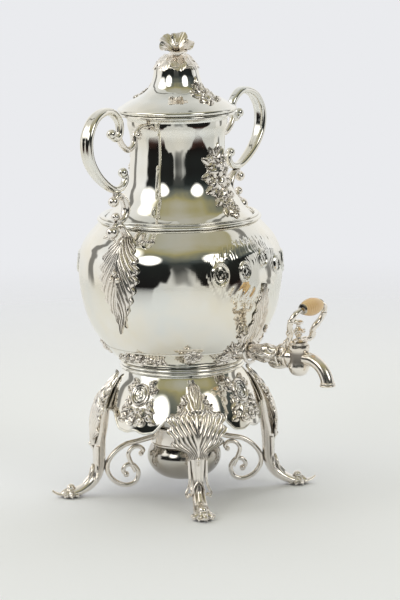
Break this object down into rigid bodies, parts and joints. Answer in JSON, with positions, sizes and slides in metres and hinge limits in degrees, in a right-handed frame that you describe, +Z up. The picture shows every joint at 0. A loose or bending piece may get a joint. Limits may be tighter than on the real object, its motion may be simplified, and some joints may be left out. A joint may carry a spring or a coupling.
{
  "type": "hot water urn",
  "caption": "Pear-shaped silver-plated urn on a legged stand with a spirit burner, turn-key spigot, lift-off lid and scroll handles.",
  "frame": {"origin": "on the vessel's axis, in the plane that the feet stand on", "axes": "+Z up along the vessel's axis, spigot towards -Y, handles at -X and +X"},
  "size_m": [0.299, 0.2857, 0.47],
  "materials": {
    "silver_plate": "polished silver plate, warm white",
    "bone": "turned and polished bone, aged tan",
    "wick_cotton": "plaited cotton",
    "bare_brass": "turned brass"
  },
  "bodies": {
    "root": {"belly": "silver_plate", "vessel_base": "silver_plate", "foot_ring": "silver_plate", "floral_band": "silver_plate", "shoulder_ring": "silver_plate", "neck": "silver_plate", "neck_rim": "silver_plate", "neck_sprays": "silver_plate", "skirt": "silver_plate", "skirt_cartouches": "silver_plate", "skirt_medallions": "silver_plate", "burner_collar": "silver_plate", "burner_font": "silver_plate", "tap_body": "silver_plate", "tap_collar": "silver_plate", "tap_strainer": "bare_brass", "spigot_leaf": "silver_plate", "leg_front_left": "silver_plate", "knee_leaf_front_left": "silver_plate", "burner_arm_front_left": "silver_plate", "leg_front_right": "silver_plate", "knee_leaf_front_right": "silver_plate", "burner_arm_front_right": "silver_plate", "leg_back_right": "silver_plate", "knee_leaf_back_right": "silver_plate", "burner_arm_back_right": "silver_plate", "leg_back_left": "silver_plate", "knee_leaf_back_left": "silver_plate", "burner_arm_back_left": "silver_plate", "handle_left": "silver_plate", "handle_upper_scroll_left": "silver_plate", "handle_lower_scrolls_left": "silver_plate", "handle_leaf_left": "silver_plate", "handle_right": "silver_plate", "handle_upper_scroll_right": "silver_plate", "handle_lower_scrolls_right": "silver_plate", "handle_leaf_right": "silver_plate"},
    "tap_key": {"tap_plug": "silver_plate", "tap_washer": "bare_brass", "tap_nut": "bare_brass", "key_bow": "silver_plate", "grip_pin": "bare_brass", "key_grip": "bone", "grip_ferrules": "silver_plate", "key_finial": "silver_plate"},
    "lid": {"lid_dome": "silver_plate", "lid_rim_wire": "silver_plate", "lid_bezel": "silver_plate", "lid_sprays": "silver_plate", "finial_base": "silver_plate", "finial_calyx": "silver_plate", "finial_flower": "silver_plate", "finial_boss": "silver_plate", "finial_screw": "bare_brass", "finial_nut": "bare_brass"},
    "burner": {"wick_holder": "silver_plate", "wick": "wick_cotton"},
    "snuffer": {"snuffer_cap": "silver_plate", "snuffer_knob": "silver_plate"}
  },
  "joints": [
    {"name": "lid_lift", "type": "slide", "parent": "root", "child": "lid", "axis": [0, 0, 1], "range_m": [0, 0.06]},
    {"name": "tap_turn", "type": "hinge", "parent": "root", "child": "tap_key", "pos_m": [0, -0.142, 0.154], "axis": [0, 0, 1], "continuous": true},
    {"name": "burner_lift", "type": "slide", "parent": "root", "child": "burner", "axis": [0, 0, 1], "range_m": [0, 0.014]},
    {"name": "snuffer_lift", "type": "slide", "parent": "burner", "child": "snuffer", "axis": [0, 0, 1], "range_m": [0, 0.024]}
  ]
}
